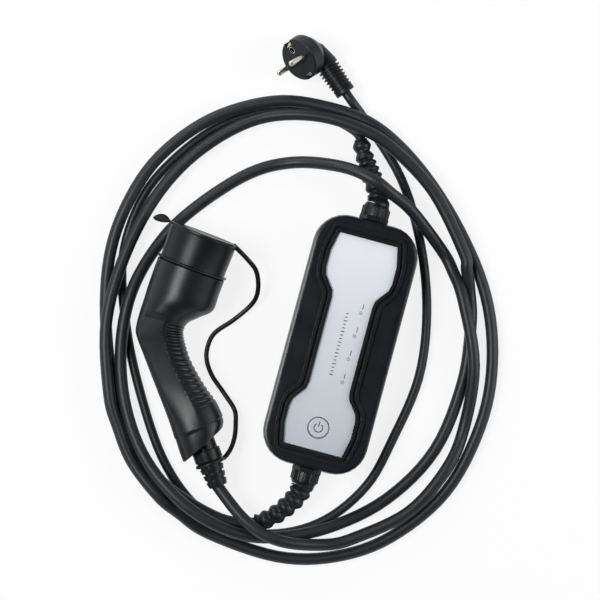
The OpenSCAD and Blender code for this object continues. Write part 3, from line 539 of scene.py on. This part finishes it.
class CHARGER_OT_connector(bpy.types.Operator):
    """Model the grip with its flat, its ribs and its collar, and the dust cap with its pull tab"""
    bl_idname = "charger.connector"
    bl_label = "Vehicle connector"

    def execute(self, context):
        p = context.scene.charger_connector
        finish(self.grip(p.rib_count), spark_eroded_abs("grained_grip_abs", p.colour, 0.35), "grip",
               "grip_shell_upper", "grip_shell_lower")
        rubber = moulded_tpe("moulded_cap_rubber", p.cap_colour)
        finish(self.cap(p.cap_r / MM, p.cap_l / MM), rubber, "soft_rubber", "dust_cap")
        finish(self.strap(context.scene.charger_cables.strap_w), rubber, "soft_rubber", "cap_tether")
        return {"FINISHED"}

    @staticmethod
    def grip(rib_count):
        """Ribs run over the finger side; a flat lies on the palm side and fades out towards the collar."""
        last = len(GRIP_SECTIONS) - 1
        rings, t, stops = [], 0.0, []
        while t < last:
            stops.append(t)
            t += RIB_STEP if RIBS_FROM - 0.1 < t < RIBS_TO + 0.1 else RING_STEP
        stops.append(float(last))
        for t in stops:
            lx, ly, rx, ry, height, square = grip_section(t)
            # Both ends are drawn in by a few hundredths, and the collar is a little smaller than what is in front
            inset = 1.0 - 0.05 * max(0.0, 1 - t / 0.12) - 0.06 * max(0.0, 1 - (last - t) / 0.12)
            inset -= COLLAR_STEP if t > last - COLLAR_LENGTH else 0.0
            fade = share((FLAT_TO - t) / FLAT_FALL)
            flat = share((t - FLAT_FROM) / FLAT_RISE) * fade * fade * (3 - 2 * fade)
            ribbed = share((t - RIBS_FROM) / 0.25) * share((RIBS_TO - t) / 0.25)
            wave = abs(math.sin(math.pi * rib_count * (t - RIBS_FROM) / (RIBS_TO - RIBS_FROM)))
            ring = []
            for a in angles(96):
                c, s = math.cos(a), math.sin(a)
                u = math.copysign(abs(c) ** (2 / square), c) * inset
                w = math.copysign(abs(s) ** (2 / square), s) * inset
                # A plane that falls from a ridge near the middle towards the back
                limit = FLAT_TOP - FLAT_SLOPE * max(0.0, FLAT_EDGE - u)
                if u < FLAT_EDGE and abs(w) > limit:
                    w += flat * (math.copysign(limit, w) - w)
                depth = ribbed * share((u - 0.22) / 0.15) * RIB_DEPTH * (1 - wave ** 0.6)
                u, w = u * (1 - depth), w * (1 - depth)
                ring.append(Vector((lx + (rx - lx) * (u + 1) / 2, ly + (ry - ly) * (u + 1) / 2, height * w)) * MM)
            rings.append(ring)
        return skin("grip_housing", rings, 28, CONNECTOR)

    @staticmethod
    def cap(r, length):
        """The cap widens towards its closed end, has a lip there and a thin flange at its mouth."""
        profile = [(0, length - 0.3), (r - 3.5, length - 0.3), (r - 2.6, length), (r - 0.5, length),
                   (r + 0.1, length - 0.5), (r + 0.1, length - 1.9), (r - 0.3, length - 2.4), (r - 0.5, length - 3.2),
                   (r - 1.2, 3.2), (r - 1.1, 2.3), (r + 1.2, 1.7), (r + 1.3, 1.0), (r + 0.9, 0.4), (r - 2, 0.35),
                   (r - 2.1, 26), (0, 26)]
        upright = CONNECTOR @ Matrix.Rotation(math.radians(-90), 4, "X")
        body = turned("cap_body", profile, upright, 96, 30)
        # The pull tab is a leaf on the palm side of the lip
        root, tip, rings = -r + 1.5, -r - 16.0, []
        for k in range(25):
            f = k / 24
            x = root + (tip - root) * f
            leaf = max(0.0, math.sin(math.pi * max(0.0, f - 0.18) / 0.82)) ** 0.8
            half = 0.9 + 2.7 * leaf if f > 0.18 else 1.3 - 2.2 * f
            half *= math.sqrt(max(0.02, 1 - max(0.0, (f - 0.86) / 0.14) ** 2))
            thick = 1.0 if k not in (0, 24) else 0.5
            lift = length - 1.3 + 1.6 * math.sin(math.pi * f) - 1.2 * f
            rings.append([Vector((x, lift + half * math.cos(a), thick * math.sin(a))) * MM for a in angles(20)])
        return joined("dust_cap_piece", [body, skin("cap_tab", rings, 50, CONNECTOR)])

    @staticmethod
    def strap(width):
        """A flat strap with rounded edges along the tether's route."""
        path = smooth_path([(-108.6, 57.6, 33.6)] + TETHER_ROUTE + [(-72.5, -120, 17.6)], 8)
        rings = []
        for k, centre in enumerate(path):
            side, up = across(path, k)
            rings.append([centre + side * (width / 2) * math.copysign(abs(math.cos(a)) ** 0.7, math.cos(a))
                          + up * 1.1 * MM * math.sin(a) for a in angles(16)])
        return skin("cap_strap", rings, 60)


class CHARGER_OT_reliefs(bpy.types.Operator):
    """Model the ribbed bend reliefs at both ends of the control box"""
    bl_idname = "charger.reliefs"
    bl_label = "Bend reliefs"

    def execute(self, context):
        rubber = moulded_tpe("moulded_relief_rubber", context.scene.charger_cables.relief_colour)
        for name, bend, node, end_r in (("mains_sleeve", TOP_BEND, "mains_relief", 7.6),
                                        ("charging_sleeve", BOTTOM_BEND, "ev_relief", 7.8)):
            path = even_path(bend, RELIEF_STEP * MM)
            radii = []
            for k in range(len(path)):
                rib = 0.5 + 0.5 * math.cos(2 * math.pi * k * RELIEF_STEP / RELIEF_PITCH)
                full = RELIEF_R + (end_r - RELIEF_R) * k / (len(path) - 1)
                radii.append((full - RELIEF_GROOVE * (1 - rib ** 0.6) * min(1.0, k / 6)) * MM)
            finish(round_sleeve(name, path, radii), rubber, "soft_rubber", node)
        return {"FINISHED"}


def softened(node, name, width, segments=2, angle=38):
    """A copy of a CAD node with merged faces and rounded edges, to stand for that node."""
    source = bpy.data.objects[node]
    obj = bpy.data.objects.new(name, source.data.copy())
    bpy.context.collection.objects.link(obj)
    only(obj)
    bpy.ops.object.mode_set(mode="EDIT")
    bpy.ops.mesh.select_all(action="SELECT")
    bpy.ops.mesh.remove_doubles(threshold=0.000002)
    bpy.ops.mesh.dissolve_limited(angle_limit=math.radians(0.6))
    bpy.ops.object.mode_set(mode="OBJECT")
    bevel = obj.modifiers.new("rounding", "BEVEL")
    bevel.width = width
    bevel.segments = segments
    bevel.limit_method = "ANGLE"
    bevel.angle_limit = math.radians(angle)
    bpy.ops.object.modifier_apply(modifier="rounding")
    bpy.ops.object.shade_smooth_by_angle(angle=math.radians(50))
    # Large faces keep their own direction, so flats stay flat beside the rounded edges
    flats = obj.modifiers.new("flats", "WEIGHTED_NORMAL")
    flats.keep_sharp = True
    flats.weight = 100
    bpy.ops.object.modifier_apply(modifier="flats")
    obj.data.name = name
    return obj


def ink_place(centre, top):
    """Matrix that puts a printed mark at a centre in mm on a face at height top in metres."""
    return Matrix.Translation((centre[0] * MM, centre[1] * MM, top - INK_SUNK * MM))


def printed_bar(centre, size, top):
    """A thin printed mark with its corners taken off, in mm, on a face at height top."""
    bpy.ops.object.select_all(action="DESELECT")
    bpy.ops.mesh.primitive_plane_add(size=1, location=(0, 0, 0))
    bar = bpy.context.object
    bar.scale = (size[0] * MM, size[1] * MM, 1)
    bpy.ops.object.transform_apply(location=False, rotation=False, scale=True)
    bpy.ops.object.mode_set(mode="EDIT")
    bpy.ops.mesh.select_all(action="SELECT")
    bpy.ops.mesh.bevel(offset=0.3 * min(size) * MM, segments=2, affect="VERTICES")
    bpy.ops.mesh.extrude_region_move(TRANSFORM_OT_translate={"value": (0, 0, INK_THICK * MM)})
    bpy.ops.object.mode_set(mode="OBJECT")
    return settle(bar, "printed_bar", ink_place(centre, top))


def printed_ring(centre, radius, stroke, top, start=0, sweep=360):
    """A thin printed ring or arc in mm, on a face at height top; angles in degrees from +X."""
    inner, outer = radius - stroke / 2, radius + stroke / 2
    steps = max(12, round(72 * sweep / 360))
    rings = []
    for k in range(steps + (sweep < 360)):
        a = math.radians(start + sweep * k / steps)
        rings.append([Vector((r * math.cos(a), r * math.sin(a), h)) * MM
                      for r, h in ((inner, 0), (outer, 0), (outer, INK_THICK), (inner, INK_THICK))])
    if sweep == 360:
        rings.append(rings[0])
    return skin("printed_ring", rings, 30, ink_place(centre, top))


class CHARGER_OT_housing(bpy.types.Operator):
    """Round the edges of the control box, its ridges, panel and key, and print the panel's plain marks"""
    bl_idname = "charger.housing"
    bl_label = "Control box"

    def execute(self, context):
        p = context.scene.charger_housing
        abs_finish = spark_eroded_abs("spark_eroded_abs", p.colour)
        film = satin_panel("satin_silver_film", p.panel_painted_light, p.panel_painted_shade)
        finish(softened("box_cover", "cover_moulding", p.edge_r, 4), abs_finish, "housing", "box_cover")
        finish(softened("box_base", "base_moulding", p.base_edge_r), abs_finish, "housing", "box_base")
        finish(softened("front_panel", "panel_plate", 0.25 * MM), film, "panel", "front_panel")
        finish(softened("touch_key", "key_disc", 0.2 * MM), film, "key", "touch_key")
        finish(self.marks(p.ring_r / MM), smooth_pc("screen_printed_ink", p.mark), "panel")
        return {"FINISHED"}

    @staticmethod
    def marks(ring_r):
        """A ring and a generic standby mark on the key, a row of plain graduations, and a tick by each window."""
        x, y = ((KEY_LOW[i] + KEY_HIGH[i]) / 2 / MM for i in (0, 1))
        key_top, top = KEY_LOW[2] + KEY_FACE, PANEL_HIGH[2]
        pieces = [
            printed_ring((x, y), ring_r, 0.8, top), printed_ring((x, y), 3.6, 0.9, key_top, 125, 290),
            printed_bar((x, y + 3.1), (0.9, 4.4), key_top),
        ]
        count, x, first, pitch = GRADUATIONS
        for k in range(count):
            long = 3.2 if k % 3 == 0 else 2.2
            pieces.append(printed_bar((x, first + k * pitch), (long, 0.8), top))
        count, x, first, pitch = TICKS
        for k in range(count):
            pieces.append(printed_bar((x, first + k * pitch), (0.7, 4.6), top))
        return joined("panel_marks", pieces)


class CHARGER_OT_fittings(bpy.types.Operator):
    """Round the edges of the glands and nuts, the handle's boot and the strap's ring"""
    bl_idname = "charger.fittings"
    bl_label = "Glands and boot"

    def execute(self, context):
        gland = smooth_pc("smooth_polycarbonate", linear(GLAND_COLOUR))
        rubber = moulded_tpe("moulded_relief_rubber", context.scene.charger_cables.relief_colour)
        for node, name, material, kind in (
            ("top_gland_body", "top_collar", gland, "gland"), ("bottom_gland_body", "bottom_collar", gland, "gland"),
            ("top_gland_nut", "top_nut", gland, "gland"), ("bottom_gland_nut", "bottom_nut", gland, "gland"),
            ("handle_gland", "handle_collar", gland, "gland"), ("handle_boot", "handle_sleeve", rubber, "soft_rubber"),
            ("tether_ring", "strap_ring", rubber, "soft_rubber"),
        ):
            finish(softened(node, name, 0.5 * MM), material, kind, node)
        return {"FINISHED"}


class CHARGER_OT_finishes(bpy.types.Operator):
    """Give every part its finish"""
    bl_idname = "charger.finishes"
    bl_label = "Finishes"

    def execute(self, context):
        box, connector = context.scene.charger_housing, context.scene.charger_connector
        plug, cables = context.scene.charger_plug, context.scene.charger_cables
        housing = spark_eroded_abs("spark_eroded_abs", box.colour)
        grip = spark_eroded_abs("grained_grip_abs", connector.colour, 0.35)
        cap = moulded_tpe("moulded_cap_rubber", connector.cap_colour)
        relief = moulded_tpe("moulded_relief_rubber", cables.relief_colour)
        gland = smooth_pc("smooth_polycarbonate", linear(GLAND_COLOUR))
        nickel = plated_metal("nickel_plated_brass", plug.pin_colour)
        zinc = plated_metal("zinc_plated_steel", linear("#a9abac"), 0.3)
        board = smooth_pc("green_solder_mask", linear("#12402a"))
        moulded = smooth_pc("filled_nylon", linear("#223043"))
        for material, nodes in (
            (housing, ("box_base", "box_cover")),
            (satin_panel("satin_silver_film", box.panel_painted_light, box.panel_painted_shade), ("front_panel", "touch_key")),
            (clear_lens("clear_light_guide", linear("#9fb0b6")), ("indicator_lenses",)),
            (grip, ("grip_shell_upper", "grip_shell_lower", "nose_sleeve")),
            (cap, ("dust_cap", "cap_tether", "tether_ring", "nose_seal")),
            (relief, ("mains_relief", "ev_relief", "handle_boot", "box_seal")),
            (moulded_tpe("moulded_plug_pvc", plug.colour), ("plug_body",)),
            (gland, ("top_gland_body", "top_gland_nut", "bottom_gland_body", "bottom_gland_nut", "cable_clamp",
                     "handle_gland")),
            (nickel, ("live_pin", "neutral_pin", "earth_clips", "earth_socket", "contact_sleeves")),
            (zinc, ("cover_screws", "insert_screws")),
            (board, ("circuit_board",)),
            (moulded, ("relays", "residual_current_sensor", "power_supply", "terminal_block", "contact_insert")),
            (extruded_jacket("extruded_rubber_jacket", cables.colour), ("mains_lead", "ev_cable")),
        ):
            for node in nodes:
                dress(node, material)
        return {"FINISHED"}


class CHARGER_PT_panel(bpy.types.Panel):
    """Sizes, colours and steps of the charger"""
    bl_label = "Car charger"
    bl_idname = "CHARGER_PT_panel"
    bl_space_type = "VIEW_3D"
    bl_region_type = "UI"
    bl_category = "Charger"

    def draw(self, context):
        for group in GROUPS:
            column = self.layout.column(align=True)
            for prop in group[1].__annotations__:
                column.prop(getattr(context.scene, group[0]), prop)
        for step in STEPS:
            self.layout.operator(step.bl_idname)


GROUPS = (("charger_cables", CHARGER_PG_cables), ("charger_housing", CHARGER_PG_housing),
          ("charger_connector", CHARGER_PG_connector), ("charger_plug", CHARGER_PG_plug))
STEPS = (CHARGER_OT_stage, CHARGER_OT_cables, CHARGER_OT_connector, CHARGER_OT_reliefs, CHARGER_OT_housing,
         CHARGER_OT_fittings, CHARGER_OT_finishes)


def register():
    for _, group in GROUPS:
        bpy.utils.register_class(group)
    for name, group in GROUPS:
        setattr(bpy.types.Scene, name, bpy.props.PointerProperty(type=group))
    for step in STEPS:
        bpy.utils.register_class(step)
    bpy.utils.register_class(CHARGER_PT_panel)


def unregister():
    bpy.utils.unregister_class(CHARGER_PT_panel)
    for step in reversed(STEPS):
        bpy.utils.unregister_class(step)
    for name, group in reversed(GROUPS):
        delattr(bpy.types.Scene, name)
        bpy.utils.unregister_class(group)


def main():
    register()
    bpy.ops.charger.stage()
    bpy.ops.charger.cables()
    bpy.ops.charger.connector()
    bpy.ops.charger.reliefs()
    bpy.ops.charger.housing()
    bpy.ops.charger.fittings()
    bpy.ops.charger.finishes()


if __name__ == "__main__":
    main()
